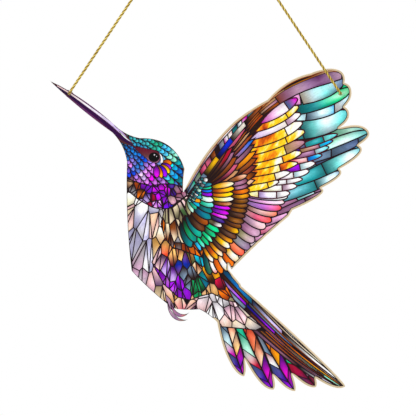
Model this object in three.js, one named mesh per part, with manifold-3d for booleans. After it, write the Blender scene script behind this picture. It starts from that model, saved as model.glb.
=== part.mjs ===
// A flat hummingbird suncatcher: one sheet of clear acrylic, laser-cut to the bird's outline and hung by a
// gold cord. The cord runs up from a hole in the bill, over whatever it hangs on, and down to a hole in the
// wing tip. Each end goes through its hole from the front and is knotted behind the sheet.
// Millimetres, +Z up, the bird's printed front faces -Y. The origin is where a hook bears on the cord's bend.
import * as THREE from 'three';
import { mergeVertices } from 'three/addons/utils/BufferGeometryUtils.js';
import Module from 'manifold-3d';

const wasm = await Module();
wasm.setup();

// Driving sizes of the sheet
const BIRD_SPAN = 200; // across from bill tip to wing tip, and up from tail tip to wing tip
const SHEET_THICKNESS = 3;
const HOLE_WALL = 1.3; // acrylic left round each hole, where the bill is too narrow to leave it

// Driving sizes of the cord and what it passes through
const CORD_DIAMETER = 1.7;
const HOLE_CLEARANCE = 0.3; // between the cord and the wall of its hole, all round
const APEX_BEND_RADIUS = 4; // of the cord's centreline where it goes over a hook
const HOLE_DROP = 123; // from the origin down to the two holes
const EXIT_BEND_RADIUS = 3.6; // of the cord's centreline where it leaves a hole and turns up
const EXIT_STRAIGHT = 1; // straight cord in front of the sheet before that bend
const KNOT_WIDTH = 4.2;
const KNOT_DEPTH = 3.8;
const TOUCH_GAP = 0.3; // left between solids that touch

const CURVE_STEP = 1.25; // between the points of a curved edge

// The bird is drawn in two-hundredths of its span, across and up from the lower left corner of its box
const BILL_HOLE = [12.7, 185.8];
const WING_HOLE = [182, BILL_HOLE[1]];

// The body's corners, clockwise from the bill tip, each with how far the edge to the next bows outwards
const BODY = [
  [0.2, 194.2, 1.8], // bill tip
  [41.3, 165.9, -1.3], // where the bill meets the brow
  [56.9, 158, 6.3], // crown
  [84.8, 138.8, -0.4], // back of the head
  [83.8, 124.6, 0], // nape, behind the wing
  [112, 92, 0],
  [112, 76, 0],
  [119.6, 67, 0],
  [124, 52, 0],
  [105, 43.2, -0.6], // rump
  [94, 51.2, 0.4],
  [79.4, 51.4, 0], // belly
  [73.6, 54.8, 0.6],
  [51.7, 75.2, 1.3], // foot of the breast
  [48.8, 143.1, -1.7], // throat
  [39.6, 161.6, 1],
];

// Both wings' corners in the same way: the hind wing's leading edge, then the front wing's, then the feather
// roots behind the trailing edge
const WINGS = [
  [84.1, 124.4, 2.7],
  [116.3, 168.8, 0.6],
  [136.6, 182, 5.2],
  [176, 199.6, 0],
  [180, 163, 0],
  [150, 109.4, -0.7],
  [114.1, 75.9, 0],
];

// Feathers and claws: where each starts and ends, how far its two edges bow to the left and right of the line
// between them, seen from root to tip, and how blunt its tip is, from 0 for a point to 1 for a round end
const FRONT_PRIMARIES = [
  { root: [140, 180], tip: [184.5, 197], left: 9, right: 9, blunt: 1 },
  { root: [140, 172], tip: [188.4, 189.6], left: 7.6, right: 12, blunt: 1 },
  { root: [140, 160], tip: [187.3, 174.6], left: 8, right: 9, blunt: 1 },
];
const HIND_FEATHERS = [
  { root: [150, 142], tip: [200, 161.6], left: 9.6, right: 5.8, blunt: 1 },
  { root: [140, 125], tip: [195.3, 151.8], left: 8, right: 5.8, blunt: 1 },
  { root: [130, 115], tip: [182.6, 137.2], left: 8, right: 4.8, blunt: 1 },
  { root: [125, 105], tip: [171.4, 125.6], left: 6, right: 3.6, blunt: 1 },
];
const TAIL_FEATHERS = [
  { root: [104.4, 64], tip: [121.8, 9.2], left: 4.6, right: 6.7, blunt: 0.8 },
  { root: [110, 66], tip: [140.4, 1], left: 5, right: 8.3, blunt: 0.9 },
  { root: [114, 68], tip: [153.8, 0], left: 5.2, right: 7.8, blunt: 0.8 },
  { root: [114, 69], tip: [166.8, 2.6], left: 6.6, right: 7.7, blunt: 0.9 },
  { root: [110, 74], tip: [185.1, 3], left: 1.9, right: 10.6, blunt: 0.95 },
];
const LEG_AND_CLAWS = [
  { root: [72.6, 60], tip: [78.8, 49], left: 1.4, right: 1.6, blunt: 0 },
  { root: [74, 56.4], tip: [86.6, 44.7], left: -3.3, right: 5.4, blunt: 0.5 },
  { root: [76, 56], tip: [87.7, 49.2], left: -3.6, right: 6, blunt: 0.6 },
];

// A length on the drawing, in millimetres
function realLength(drawn) {
  return (drawn / 200) * BIRD_SPAN;
}

// A place on the drawing, on the sheet: the holes are level, and the origin is midway above them
function onSheet([across, up]) {
  const middle = (BILL_HOLE[0] + WING_HOLE[0]) / 2;
  return new THREE.Vector2(realLength(across - middle), realLength(up - BILL_HOLE[1]) - HOLE_DROP);
}

// Points along a curve of the drawing, evenly spaced, without the last, where the next curve starts
function sampled(curve) {
  const steps = Math.round(realLength(curve.getLength()) / CURVE_STEP);
  return curve.getSpacedPoints(Math.max(2, steps)).slice(0, -1);
}

// The curve from one place to the next, bowed to the left of the line between them
function bowedEdge(from, to, bow, tipShare = 1 / 3) {
  const start = new THREE.Vector2(...from);
  const along = new THREE.Vector2(...to).sub(start);
  const offset = new THREE.Vector2(-along.y, along.x).setLength((4 / 3) * bow);
  const control = (share) => start.clone().addScaledVector(along, share).add(offset);
  return new THREE.CubicBezierCurve(start, control(1 / 3), control(1 - tipShare), start.clone().add(along));
}

function areaOf(corners) {
  return corners.flatMap(([x, y, bow], i) => {
    const [nextX, nextY] = corners[(i + 1) % corners.length];
    return sampled(bowedEdge([x, y], [nextX, nextY], bow));
  });
}

function featherOf({ root, tip, left, right, blunt }) {
  const tipShare = (1 - blunt) / 3;
  const out = bowedEdge(root, tip, left, tipShare);
  const back = bowedEdge(root, tip, -right, tipShare);
  return [...sampled(out), ...sampled(new THREE.CubicBezierCurve(back.v3, back.v2, back.v1, back.v0))];
}

// A closed outline on the drawing as a solid of the sheet's thickness
function slab(points) {
  const shape = new THREE.Shape(points.map(({ x, y }) => onSheet([x, y])));
  const geometry = new THREE.ExtrudeGeometry(shape, { depth: SHEET_THICKNESS, bevelEnabled: false });
  return solid(geometry.translate(0, 0, -SHEET_THICKNESS / 2));
}

function solid(geometry) {
  const merged = mergeVertices(geometry.deleteAttribute('normal').deleteAttribute('uv'), 1e-4);
  const vertProperties = merged.attributes.position.array;
  const triVerts = new Uint32Array(merged.index.array);
  return new wasm.Manifold(new wasm.Mesh({ numProp: 3, vertProperties, triVerts }));
}

// A round plug through a place of the sheet, along its depth
function plug(place, radius, length) {
  const geometry = new THREE.CylinderGeometry(radius, radius, length, 24).rotateX(Math.PI / 2);
  const { x, y } = onSheet(place);
  return solid(geometry.translate(x, y, 0));
}

function acrylicSheet() {
  const feathers = [...FRONT_PRIMARIES, ...HIND_FEATHERS, ...TAIL_FEATHERS, ...LEG_AND_CLAWS].map(featherOf);
  let sheet = slab(areaOf(BODY));
  for (const points of [areaOf(WINGS), ...feathers]) sheet = sheet.add(slab(points));
  const holeRadius = CORD_DIAMETER / 2 + HOLE_CLEARANCE;
  for (const place of [BILL_HOLE, WING_HOLE]) {
    sheet = sheet.add(plug(place, holeRadius + HOLE_WALL, SHEET_THICKNESS));
    sheet = sheet.subtract(plug(place, holeRadius, 2 * SHEET_THICKNESS));
  }
  const { vertProperties, triVerts } = sheet.getMesh();
  const geometry = new THREE.BufferGeometry();
  geometry.setAttribute('position', new THREE.BufferAttribute(vertProperties, 3));
  geometry.setIndex(new THREE.BufferAttribute(triVerts, 1));
  const faceted = geometry.toNonIndexed();
  faceted.computeVertexNormals();
  const material = new THREE.MeshStandardMaterial({ color: 0xa88a86, roughness: 0.12, metalness: 0 });
  const mesh = new THREE.Mesh(faceted, material);
  mesh.name = 'acrylic_sheet';
  mesh.rotation.x = Math.PI / 2; // the drawing's plane stands up
  return mesh;
}

// Half of the cord's route, from behind the wing hole to the middle of the bend at the top. The cord leaves
// the hole along -Y, turns up on an arc, rises straight to the hook and bends over it on another arc.
function halfRoute() {
  const hole = onSheet(WING_HOLE);
  const bendCentre = new THREE.Vector2(0, CORD_DIAMETER / 2 - APEX_BEND_RADIUS);
  const toHole = hole.clone().sub(bendCentre);
  const tangentTurn = toHole.angle() - 2 * Math.PI + Math.acos(APEX_BEND_RADIUS / toHole.length());
  const onBend = (angle) => [
    bendCentre.x + APEX_BEND_RADIUS * Math.cos(angle), 0, bendCentre.y + APEX_BEND_RADIUS * Math.sin(angle),
  ];
  const [tangentX, , tangentZ] = onBend(tangentTurn);
  const rise = new THREE.Vector2(tangentX, tangentZ).sub(hole);
  const bendStart = -SHEET_THICKNESS / 2 - EXIT_STRAIGHT;
  const strandFront = bendStart - EXIT_BEND_RADIUS;
  const onStrand = (distance, y) => {
    const { x, y: z } = hole.clone().addScaledVector(rise, distance / rise.length());
    return [x, y, z];
  };
  const onExit = (degrees) => {
    const angle = THREE.MathUtils.degToRad(degrees);
    return onStrand(EXIT_BEND_RADIUS * (1 - Math.cos(angle)), bendStart - EXIT_BEND_RADIUS * Math.sin(angle));
  };
  const onRise = (share) => onStrand(
    THREE.MathUtils.lerp(EXIT_BEND_RADIUS, rise.length(), share), strandFront * (1 - share),
  );
  return [
    onStrand(0, SHEET_THICKNESS / 2), onStrand(0, 0), onStrand(0, bendStart),
    onExit(30), onExit(60), onExit(90),
    onRise(0.06), onRise(0.2), onRise(0.36), onRise(0.52), onRise(0.68), onRise(0.84), onRise(0.95),
    onBend(tangentTurn), onBend((tangentTurn + Math.PI / 2) / 2), onBend(Math.PI / 2),
  ];
}

function goldThread() {
  return new THREE.MeshStandardMaterial({ color: 0xb8942a, roughness: 0.4, metalness: 0.6 });
}

function hangingCord() {
  const half = halfRoute();
  const otherHalf = half.slice(0, -1).reverse().map(([x, y, z]) => [-x, y, z]);
  const route = new THREE.CatmullRomCurve3([...half, ...otherHalf].map((p) => new THREE.Vector3(...p)));
  const sides = 8;
  const around = Array.from({ length: sides }, (_, i) => (2 * Math.PI * i) / sides);
  const section = new THREE.Shape(around.map(
    (angle) => new THREE.Vector2(Math.cos(angle), Math.sin(angle)).multiplyScalar(CORD_DIAMETER / 2),
  ));
  const steps = Math.round(route.getLength() / (2.4 * CORD_DIAMETER));
  const geometry = new THREE.ExtrudeGeometry(section, { steps, extrudePath: route, bevelEnabled: false });
  const cord = new THREE.Mesh(geometry, goldThread());
  cord.name = 'hanging_cord';
  return cord;
}

// The overhand knot that stops the cord behind a hole, as its plain outer shape
function stopperKnot(name, place) {
  const knot = new THREE.Mesh(new THREE.SphereGeometry(0.5, 16, 10), goldThread());
  const { x, y } = onSheet(place);
  knot.scale.set(KNOT_WIDTH, KNOT_DEPTH, KNOT_WIDTH);
  knot.position.set(x, SHEET_THICKNESS / 2 + TOUCH_GAP + KNOT_DEPTH / 2, y);
  knot.name = name;
  return knot;
}

const suncatcher = new THREE.Group();
suncatcher.add(acrylicSheet(), hangingCord());
suncatcher.add(stopperKnot('bill_knot', BILL_HOLE), stopperKnot('wing_knot', WING_HOLE));

export default suncatcher;
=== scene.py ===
import math
import random

import bmesh
import bpy
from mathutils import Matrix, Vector
from mathutils.geometry import delaunay_2d_cdt


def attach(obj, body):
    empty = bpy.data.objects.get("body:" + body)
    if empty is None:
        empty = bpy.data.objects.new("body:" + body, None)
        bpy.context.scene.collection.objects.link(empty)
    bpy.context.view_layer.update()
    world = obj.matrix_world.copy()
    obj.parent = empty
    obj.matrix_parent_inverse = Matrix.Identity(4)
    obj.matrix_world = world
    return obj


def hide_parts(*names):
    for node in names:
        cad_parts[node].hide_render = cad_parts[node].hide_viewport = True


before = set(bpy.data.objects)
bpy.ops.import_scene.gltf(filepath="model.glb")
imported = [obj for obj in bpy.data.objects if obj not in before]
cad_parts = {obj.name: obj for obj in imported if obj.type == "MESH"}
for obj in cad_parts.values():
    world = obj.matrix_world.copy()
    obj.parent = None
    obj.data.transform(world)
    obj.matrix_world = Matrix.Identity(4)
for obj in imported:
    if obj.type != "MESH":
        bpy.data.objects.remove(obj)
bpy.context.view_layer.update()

MM = 0.001

# Camera

VIEW_DISTANCE = 2.5
VIEW_WIDTH = 0.260  # of the picture, where the sheet hangs

camera = bpy.data.objects.new("camera", bpy.data.cameras.new("camera"))
bpy.context.scene.collection.objects.link(camera)
camera.location = (0.0020, -VIEW_DISTANCE, -0.1944)
camera.rotation_euler = (math.radians(90), 0, 0)
camera.data.sensor_width = 36
camera.data.lens = camera.data.sensor_width * VIEW_DISTANCE / VIEW_WIDTH
camera.data.clip_start = 0.1
camera.data.clip_end = 100
bpy.context.scene.camera = camera


# Shader maths


class Wire:
    """A node's output, which adds, multiplies and mixes as a number does."""

    def __init__(self, recipe, socket):
        self.recipe = recipe
        self.socket = socket

    def maths(self, operation, *values):
        return self.recipe.node("ShaderNodeMath", {"operation": operation}, dict(enumerate(values)))

    def __add__(self, other):
        return self.maths("ADD", self, other)

    def __radd__(self, other):
        return self.maths("ADD", other, self)

    def __sub__(self, other):
        return self.maths("SUBTRACT", self, other)

    def __rsub__(self, other):
        return self.maths("SUBTRACT", other, self)

    def __mul__(self, other):
        return self.maths("MULTIPLY", self, other)

    def __rmul__(self, other):
        return self.maths("MULTIPLY", other, self)

    def clamped(self):
        return self.maths("MAXIMUM", self.maths("MINIMUM", self, 1.0), 0.0)

    def beside(self, output):
        """Another output of the same node."""
        return Wire(self.recipe, self.socket.node.outputs[output])


class Recipe:
    """One finish: a material or a world and the nodes that make it."""

    def __init__(self, owner):
        self.owner = owner
        owner.use_nodes = True
        self.tree = owner.node_tree
        self.tree.nodes.clear()

    def node(self, kind, settings=None, inputs=None, output=0):
        made = self.tree.nodes.new(kind)
        for name, value in (settings or {}).items():
            if name == "stops":
                while len(made.color_ramp.elements) < len(value):
                    made.color_ramp.elements.new(1.0)
                for element, (place, colour) in zip(made.color_ramp.elements, value):
                    element.position = place
                    element.color = (*colour, 1.0)
            else:
                setattr(made, name, value)
        for name, value in (inputs or {}).items():
            socket = made.inputs[name]
            if isinstance(value, Wire):
                self.tree.links.new(value.socket, socket)
            else:
                socket.default_value = value
        return Wire(self, made.outputs[output]) if made.outputs else None

    def mix(self, share, first, second, blend="MIX"):
        settings = {"data_type": "RGBA", "blend_type": blend}
        return self.node("ShaderNodeMix", settings, {0: share, 6: first, 7: second}, 2)

    def stretched(self, vector, scale):
        return self.node("ShaderNodeVectorMath", {"operation": "MULTIPLY"}, {0: vector, 1: scale})

    def noise(self, vector, scale, detail=2.0, roughness=0.5):
        inputs = {"Vector": vector, "Scale": scale, "Detail": detail, "Roughness": roughness}
        return self.node("ShaderNodeTexNoise", None, inputs)

    def along(self, vector, direction):
        return self.node(
            "ShaderNodeVectorMath",
            {"operation": "DOT_PRODUCT"},
            {0: vector, 1: direction},
            1,
        )

    def ramp(self, value, stops):
        return self.node("ShaderNodeValToRGB", {"stops": stops}, {"Fac": value})

    def surface(self, shader, kind="ShaderNodeOutputMaterial"):
        self.node(kind, None, {"Surface": shader})
        return self.owner


def new_finish(name):
    return Recipe(bpy.data.materials.new(name))


def linear(colour):
    return tuple(((c / 255 + 0.055) / 1.055) ** 2.4 if c > 10 else c / 255 / 12.92 for c in colour)


# The cord

CORD_RADIUS = 0.85 * MM
STRANDS = 3
STRAND_LAY = 9.7 * MM  # along the cord for one turn of a strand
CORD_STEP = 0.26 * MM  # between the rings of the cord
KNOT_STEP = 0.3 * MM
KNOT_LOOP = 0.43 * MM  # a third of how far the knot's line reaches from its middle
KNOT_DEPTH = 1.05 * MM
KNOT_STRAND = 0.78 * MM  # the cord's radius where it is pulled tight
END_STRAND = 0.7 * MM
HOLE_X = 84.65 * MM
KNOT_Y = 3.7 * MM
HOLE_Z = -123 * MM

# Half of the cord's route, from inside the knot behind the wing hole to the bend over the hook
HALF_ROUTE = [
    (0.08465, 0.00260, -0.12300),
    (0.08465, 0.00150, -0.12300),
    (0.08465, 0.00000, -0.12300),
    (0.08465, -0.00250, -0.12300),
    (0.08438, -0.00430, -0.12260),
    (0.08365, -0.00562, -0.12150),
    (0.08265, -0.00610, -0.12000),
    (0.07789, -0.00573, -0.11286),
    (0.06679, -0.00488, -0.09619),
    (0.05410, -0.00390, -0.07714),
    (0.04140, -0.00293, -0.05809),
    (0.02871, -0.00195, -0.03904),
    (0.01602, -0.00098, -0.01998),
    (0.00730, -0.00031, -0.00689),
    (0.00333, 0.00000, -0.00093),
    (0.00189, 0.00000, 0.00038),
    (0.00000, 0.00000, 0.00085),
]


def smooth_line(points, spacing, closed=False):
    """Evenly spaced points on a smooth curve through the given ones."""
    points = [Vector(p) for p in points]
    if closed:
        knots = [points[-1], *points, points[0], points[1]]
    else:
        knots = [2 * points[0] - points[1], *points, 2 * points[-1] - points[-2]]
    fine = []
    for before, start, end, after in zip(knots, knots[1:], knots[2:], knots[3:]):
        # centripetal tangents keep the curve from swinging out between points at uneven distances
        a, b, c = ((q - p).length ** 0.5 for p, q in ((before, start), (start, end), (end, after)))
        leave = (start - before) / a - (end - before) / (a + b) + (end - start) / b
        arrive = (end - start) / b - (after - start) / (b + c) + (after - end) / c
        for step in range(24):
            t = step / 24
            fine.append(
                start * (2 * t**3 - 3 * t**2 + 1)
                + leave * b * (t**3 - 2 * t**2 + t)
                + end * (3 * t**2 - 2 * t**3)
                + arrive * b * (t**3 - t**2)
            )
    fine.append(knots[-2].copy())
    lengths = [0.0]
    for p, q in zip(fine, fine[1:]):
        lengths.append(lengths[-1] + (q - p).length)
    count = round(lengths[-1] / spacing)
    spaced = []
    i = 0
    for step in range(count + 1):
        wanted = lengths[-1] * step / count
        while i < len(fine) - 2 and lengths[i + 1] < wanted:
            i += 1
        share = (wanted - lengths[i]) / max(lengths[i + 1] - lengths[i], 1e-12)
        spaced.append(fine[i].lerp(fine[i + 1], share))
    return spaced, lengths[-1]


def side_vectors(centres, closed=False):
    """A direction across the line at each centre, carried along it without twisting."""
    last = len(centres) - 1
    tangents = []
    for i in range(len(centres)):
        before = centres[i - 1] if i else (centres[-2] if closed else centres[0])
        after = centres[i + 1] if i < last else (centres[1] if closed else centres[last])
        tangents.append((after - before).normalized())
    across = tangents[0].orthogonal().normalized()
    sides = []
    for tangent in tangents:
        across = (across - tangent * across.dot(tangent)).normalized()
        sides.append((across, tangent.cross(across)))
    return sides


def twisted_cord(name, lines, sides=24):
    """Twisted cord along each line of closely spaced centres: a grid rolled round it."""
    shape = bmesh.new()
    groove = shape.verts.layers.float.new("groove")
    for centres, closed, radius in lines:
        across = side_vectors(centres, closed)
        spacing = (centres[1] - centres[0]).length
        rings = len(centres) - 1
        turns = rings * spacing / STRAND_LAY
        turns = round(turns * STRANDS) / STRANDS if closed else turns
        grid = bmesh.ops.create_grid(shape, x_segments=rings, y_segments=sides, size=0.5)
        for vert in grid["verts"]:
            ring = round((vert.co.x + 0.5) * rings)
            round_share = vert.co.y + 0.5
            lobe = abs(math.cos(math.pi * STRANDS * round_share))
            angle = 2 * math.pi * (round_share + turns * ring / rings)
            one, two = across[ring]
            reach = radius * (0.74 + 0.26 * lobe)
            vert.co = centres[ring] + (one * math.cos(angle) + two * math.sin(angle)) * reach
            # how deep a point lies in the groove between strands; the cord's colour is darkened there as
            # painted shade
            vert[groove] = 1 - lobe
        bmesh.ops.remove_doubles(shape, verts=grid["verts"], dist=1e-7)
    open_edges = [edge for edge in shape.edges if edge.is_boundary]
    if open_edges:
        bmesh.ops.holes_fill(shape, edges=open_edges, sides=0)
    bmesh.ops.recalc_face_normals(shape, faces=shape.faces)
    for face in shape.faces:
        face.smooth = True
    return piece_of(name, shape)


def piece_of(name, shape):
    mesh = bpy.data.meshes.new(name)
    shape.to_mesh(mesh)
    shape.free()
    piece = bpy.data.objects.new(name, mesh)
    bpy.context.scene.collection.objects.link(piece)
    return piece


def gold_thread():
    recipe = new_finish("gold_thread")
    place = recipe.node("ShaderNodeTexCoord", output=3)
    groove = recipe.node("ShaderNodeAttribute", {"attribute_name": "groove"}, output=2)
    glint = recipe.noise(place, 2600.0, 1.0)
    drift = recipe.noise(place, 160.0, 2.0)
    # the cord's colour is darkened in the grooves between strands as painted shade
    tone = (glint * 0.6 + drift * 0.5 + 0.12 - groove * 0.75).clamped()
    colour = recipe.ramp(
        tone,
        [
            (0.0, linear((74, 52, 4))), (0.25, linear((148, 112, 14))), (0.5, linear((206, 172, 40))),
            (0.8, linear((250, 236, 140))),
        ],
    )
    bump = recipe.node("ShaderNodeBump", None, {"Strength": 0.5, "Distance": 0.0001, "Height": glint})
    shader = recipe.node(
        "ShaderNodeBsdfPrincipled", None,
        {
            "Base Color": colour,
            "Metallic": 0.35,
            "Roughness": (0.5 - glint * 0.2).clamped(),
            "Normal": bump,
            "Sheen Weight": 0.15,
        },
    )
    return recipe.surface(shader)


half_back = [(-x, y, z) for x, y, z in reversed(HALF_ROUTE[:-1])]
cord_centres, cord_length = smooth_line(HALF_ROUTE + half_back, CORD_STEP)
cord = twisted_cord("twisted_gold_cord", [(cord_centres, False, CORD_RADIUS)])
THREAD = gold_thread()


def tied_knot(name, hole_x, end):
    """An overhand knot pulled tight behind the sheet, with its short end led through the places given."""
    middle = Vector((hole_x, KNOT_Y, HOLE_Z))
    loop = []
    for step in range(24):
        t = 2 * math.pi * step / 24
        across = KNOT_LOOP * (math.sin(t) + 2 * math.sin(2 * t))
        up = KNOT_LOOP * (math.cos(t) - 2 * math.cos(2 * t))
        deep = KNOT_DEPTH * math.sin(3 * t)
        loop.append(middle + Vector((across, deep, up)))
    knot_line, _ = smooth_line(loop, KNOT_STEP, closed=True)
    end_line, _ = smooth_line([middle + Vector(place) * MM for place in end], KNOT_STEP)
    return twisted_cord(name, [(knot_line, True, KNOT_STRAND), (end_line, False, END_STRAND)], 16)


knots = [
    tied_knot("tied_bill_knot", -HOLE_X, [(0.4, 0.2, -0.6), (1.4, 0.5, -1.3), (2.6, 0.6, -2.0)]),
    tied_knot("tied_wing_knot", HOLE_X, [(0, 0.2, -0.8), (0.3, 0.5, -1.8), (0.5, 0.6, -3.2)]),
]
for piece, node in zip([cord, *knots], ["hanging_cord", "bill_knot", "wing_knot"]):
    piece.data.materials.append(THREAD)
    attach(piece, "root")
    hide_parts(node)

# Glass colours of the print

GLASS = {
    "white": (255, 255, 255), "pearl": (246, 243, 248), "ivory": (252, 245, 232),
    "cream": (248, 232, 208), "champagne": (226, 206, 176), "sand": (222, 196, 160),
    "tan": (196, 158, 120), "lemon": (252, 246, 196), "straw": (236, 222, 128),
    "yellow": (255, 222, 30), "gold": (248, 190, 48), "amber": (246, 160, 24),
    "apricot": (252, 196, 128), "peach": (252, 208, 178), "orange": (242, 118, 16),
    "rust": (190, 74, 16), "copper": (168, 90, 50), "bronze": (140, 84, 22), "brown": (104, 56, 26),
    "umber": (66, 38, 22), "cocoa": (80, 46, 50), "maroon": (98, 36, 50), "wine": (120, 24, 60),
    "crimson": (196, 22, 62), "coral": (240, 104, 92), "salmon": (240, 140, 110),
    "rose": (232, 120, 150), "blush": (250, 206, 206), "pink": (246, 190, 232),
    "orchid": (218, 140, 238), "fuchsia": (224, 60, 226), "magenta": (206, 16, 178),
    "violet": (166, 24, 238), "purple": (112, 0, 168), "indigo": (74, 44, 150),
    "aubergine": (52, 18, 66), "plum": (96, 48, 96), "heather": (142, 108, 146),
    "mauve": (174, 122, 154), "dusk": (196, 160, 184), "lilac": (208, 182, 236),
    "lavender": (196, 192, 228), "slate": (88, 104, 146), "steel": (116, 140, 164),
    "ash": (206, 200, 206), "smoke": (142, 140, 146), "khaki": (152, 144, 112), "olive": (112, 108, 64),
    "moss": (84, 118, 72), "forest": (36, 88, 56), "green": (0, 150, 86), "emerald": (0, 196, 128),
    "jade": (60, 184, 146), "mint": (150, 236, 196), "seafoam": (184, 228, 210),
    "aqua": (134, 224, 220), "ice": (208, 238, 246), "cyan": (40, 196, 230), "denim": (62, 122, 196),
    "cobalt": (44, 84, 214), "sky": (96, 190, 240), "azure": (0, 126, 232), "royal": (44, 62, 226),
    "petrol": (16, 96, 126), "sea": (70, 160, 166), "teal": (0, 130, 134), "pine": (10, 80, 84),
    "night": (26, 26, 60), "black": (10, 8, 12),
}
TINT = {name: Vector(linear(colour)) for name, colour in GLASS.items()}
LEAD = TINT["black"].lerp(TINT["maroon"], 0.08)
WHITE = TINT["white"]
dice = random.Random(11)


def tint(shade):
    return TINT[shade] if isinstance(shade, str) else Vector(shade)


# The drawing's shapes

UNIT = 0.625 * MM  # of the drawing, which has x to the right and y down
HOOK = (204.76, -103.08)  # the frame's origin on the drawing


def on_sheet(x, y):
    return ((x - HOOK[0]) * UNIT, (HOOK[1] - y) * UNIT)


class Edge:
    """A line from start to end, bowed to its left as it is drawn."""

    def __init__(self, start, end, bow=0.0, tip_share=1 / 3):
        start, end = Vector(start), Vector(end)
        along = end - start
        offset = Vector((along.y, -along.x)).normalized() * bow * 4 / 3
        self.posts = (start, start + along / 3 + offset, end - along * tip_share + offset, end)

    def at(self, t):
        a, b, c, d = self.posts
        return a * (1 - t) ** 3 + b * 3 * t * (1 - t) ** 2 + c * 3 * t * t * (1 - t) + d * t**3


class Track:
    """A smooth line through places, which reads as an Edge does."""

    def __init__(self, *places):
        line, _ = smooth_line([(x, y, 0) for x, y in places], 1.0)
        self.line = [p.xy for p in line]

    def at(self, t):
        place = min(max(t, 0.0), 1.0) * (len(self.line) - 1)
        i = min(int(place), len(self.line) - 2)
        return self.line[i].lerp(self.line[i + 1], place - i)


class Leaf:
    """The area between two edges that run the same way, the first on its left."""

    def __init__(self, left, right):
        self.left = left
        self.right = right

    def at(self, t, s):
        return self.left.at(t).lerp(self.right.at(t), s)

    def cell(self, start=0.0, end=1.0, left=0.0, right=1.0, slant=0.0, steps=7):
        """The outline of a part of it, between two shares of its length and two of its width."""
        return self.line(start, end, left, slant, steps) + self.line(end, start, right, slant, steps)

    def line(self, start, end, s, slant, steps):
        """Points along it at one share of its width."""
        shares = [start + (end - start) * i / steps for i in range(steps + 1)]
        return [self.at(self.lean(t, s, slant), s) for t in shares]

    def lean(self, t, s, slant):
        return min(max(t + slant * (0.5 - abs(s - 0.5) * 2), 0.0), 1.0)


def feather(root, tip, left, right, blunt=0.8):
    tip_share = (1 - blunt) / 3
    return Leaf(Edge(root, tip, left, tip_share), Edge(root, tip, -right, tip_share))


def outline(corners, steps=8):
    """Closed outline through corners (x, y) or (x, y, bow of the edge to the next)."""
    points = []
    for i, corner in enumerate(corners):
        after = corners[(i + 1) % len(corners)]
        bow = corner[2] if len(corner) > 2 else 0.0
        edge = Edge(corner[:2], after[:2], bow)
        count = steps if bow else 2
        points += [edge.at(k / count) for k in range(count)]
    return points


def tidy_loop(points):
    """The points without repeats, turning one way."""
    kept = []
    for point in points:
        if not kept or (point - kept[-1]).length > 0.05:
            kept.append(point)
    while len(kept) > 2 and (kept[0] - kept[-1]).length <= 0.05:
        kept.pop()
    return kept if area_in(kept) > 0 else kept[::-1]


def edges_of(loop):
    """Each point of a closed loop with the next one."""
    return zip(loop, loop[1:] + loop[:1])


def bends_of(loop):
    """Each point of a closed loop between the ones beside it."""
    return zip(loop[-1:] + loop[:-1], loop, loop[1:] + loop[:1])


def area_in(loop):
    return sum(a.x * b.y - b.x * a.y for a, b in edges_of(loop)) / 2


def moved_in(loop, distance):
    """The loop with its edges moved inwards, or outwards where distance is negative."""
    moved = []
    for i, point in enumerate(loop):
        before = (point - loop[i - 1]).normalized()
        after = (loop[(i + 1) % len(loop)] - point).normalized()
        one = Vector((-before.y, before.x))
        two = Vector((-after.y, after.x))
        middle = one + two
        if middle.length < 1e-6:
            moved.append(point + one * distance)
            continue
        middle.normalize()
        moved.append(point + middle * distance / max(middle.dot(one), 0.42))
    return moved


def inside(place, loop):
    crossings = False
    for a, b in edges_of(loop):
        if (a.y > place.y) != (b.y > place.y):
            if place.x < a.x + (place.y - a.y) * (b.x - a.x) / (b.y - a.y):
                crossings = not crossings
    return crossings


def cut_back(cell, place, away):
    """The part of a cell on the near side of a line through a place, square to a direction."""
    kept = []
    for a, b in edges_of(cell):
        near_a, near_b = (a - place).dot(away), (b - place).dot(away)
        if near_a <= 0:
            kept.append(a)
        if (near_a < 0) != (near_b < 0) and near_a != near_b:
            kept.append(a.lerp(b, near_a / (near_a - near_b)))
    return kept


def shrunk(loop, distance):
    """The loop moved in. Where no corner is hollow its sides cut it back, so short ones do not cross."""
    if any((b - a).cross(c - b) < -1e-6 for a, b, c in bends_of(loop)):
        return moved_in(loop, distance)
    cell = loop
    for a, b in edges_of(loop):
        inward = Vector((a.y - b.y, b.x - a.x)).normalized()
        cell = cut_back(cell, a + inward * distance, -inward)
    return tidy_loop(cell)


def smoothed(steps):
    """Each step evened out with the ones beside it."""
    return [(a + b * 2 + c) / 4 for a, b, c in bends_of(steps)]


SHINE_REACH = 0.9  # of a highlight, in half lengths of its pane
SHINE_GAIN = 2.4
BLEACH = 0.75  # how near to white the middle of a highlight comes
SQUARE = ((-0.5, -0.5), (0.5, -0.5), (0.5, 0.5), (-0.5, 0.5))


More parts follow.
